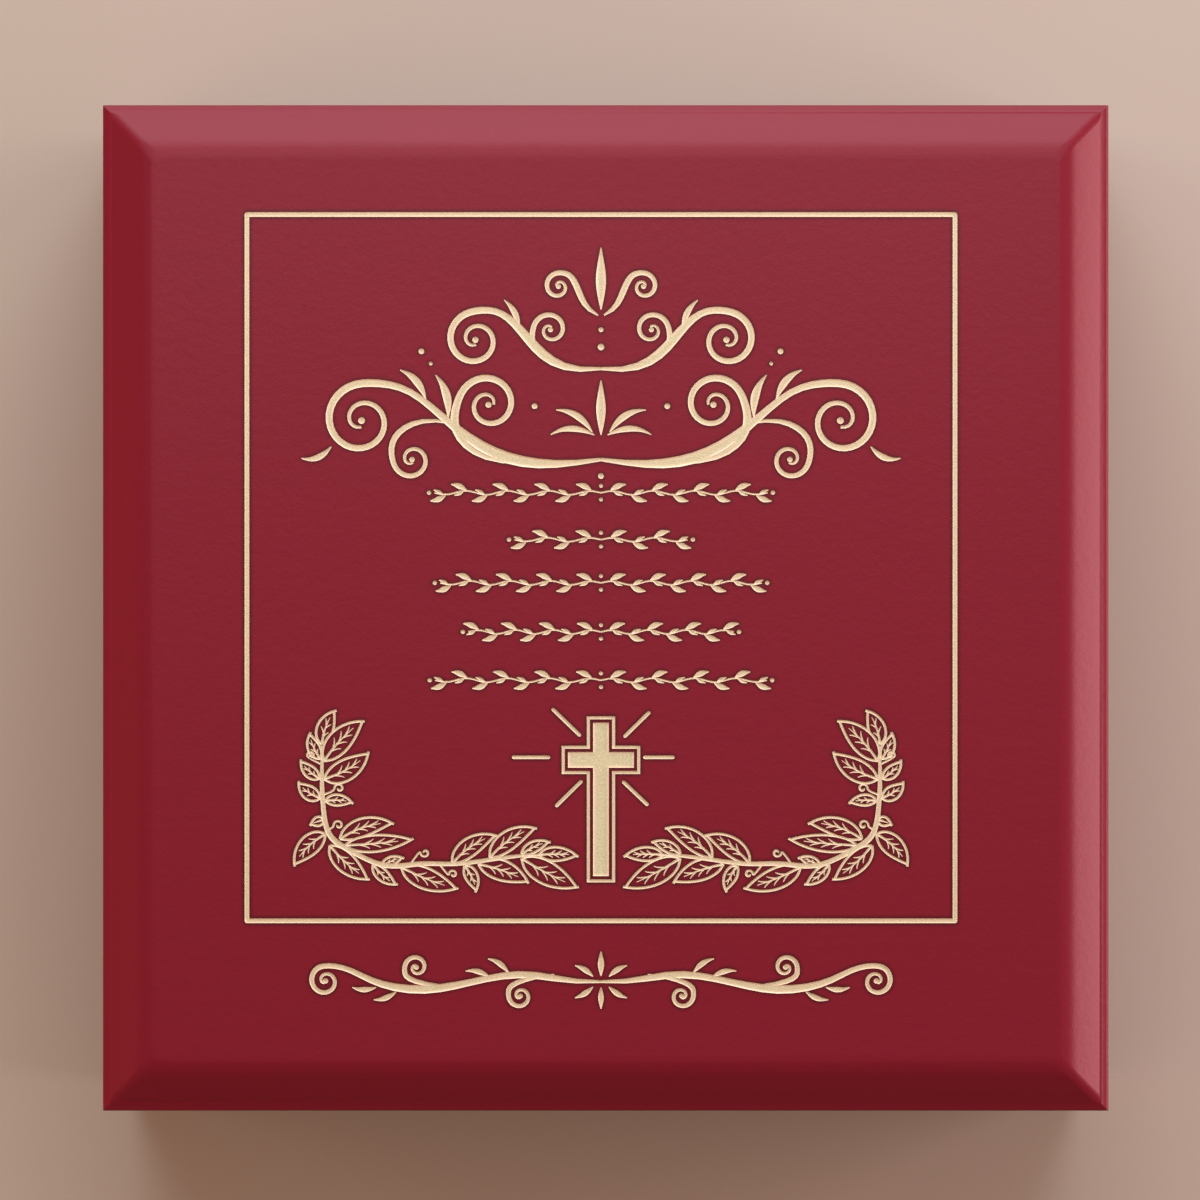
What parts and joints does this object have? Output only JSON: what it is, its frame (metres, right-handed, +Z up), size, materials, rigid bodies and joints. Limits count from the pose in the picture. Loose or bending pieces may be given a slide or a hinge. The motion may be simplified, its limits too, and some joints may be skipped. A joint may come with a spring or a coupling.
{
  "type": "keepsake box",
  "caption": "Square lacquered wooden box with a bevelled lid on recessed hinges, an engraved gilt cross, leaf sprays and border, a velvet lining and felt feet.",
  "frame": {"origin": "on the table, under the middle of the closed box", "axes": "+X to the right as the engraving is read, +Y to the back where the hinges are, +Z up"},
  "size_m": [0.14, 0.14, 0.0572],
  "materials": {
    "red_lacquer": "satin red lacquer, with gilt engraving in the lid",
    "velvet": "black velvet",
    "card": "grey card",
    "felt": "black felt",
    "brass": "polished brass",
    "nickel": "nickel plate"
  },
  "bodies": {
    "base": {"back_left_foot": "felt", "back_liner": "velvet", "back_right_foot": "felt", "back_wall": "red_lacquer", "base_left_magnet": "nickel", "base_right_magnet": "nickel", "floor_board": "card", "floor_pad": "velvet", "floor_panel": "red_lacquer", "front_left_foot": "felt", "front_liner": "velvet", "front_right_foot": "felt", "front_wall": "red_lacquer", "left_hinge_base_leaf": "brass", "left_hinge_base_screws": "brass", "left_hinge_pin": "brass", "left_liner": "velvet", "left_wall": "red_lacquer", "right_hinge_base_leaf": "brass", "right_hinge_base_screws": "brass", "right_hinge_pin": "brass", "right_liner": "velvet", "right_wall": "red_lacquer"},
    "lid": {"left_hinge_lid_leaf": "brass", "left_hinge_lid_screws": "brass", "lid_back_rail": "red_lacquer", "lid_board": "card", "lid_front_rail": "red_lacquer", "lid_left_magnet": "nickel", "lid_left_rail": "red_lacquer", "lid_pad": "velvet", "lid_panel": "red_lacquer", "lid_right_magnet": "nickel", "lid_right_rail": "red_lacquer", "right_hinge_lid_leaf": "brass", "right_hinge_lid_screws": "brass"}
  },
  "joints": [
    {"name": "lid_hinge", "type": "hinge", "parent": "base", "child": "lid", "pos_m": [0, 0.067, 0.0366], "axis": [-1, 0, 0], "range_deg": [0, 98]}
  ]
}
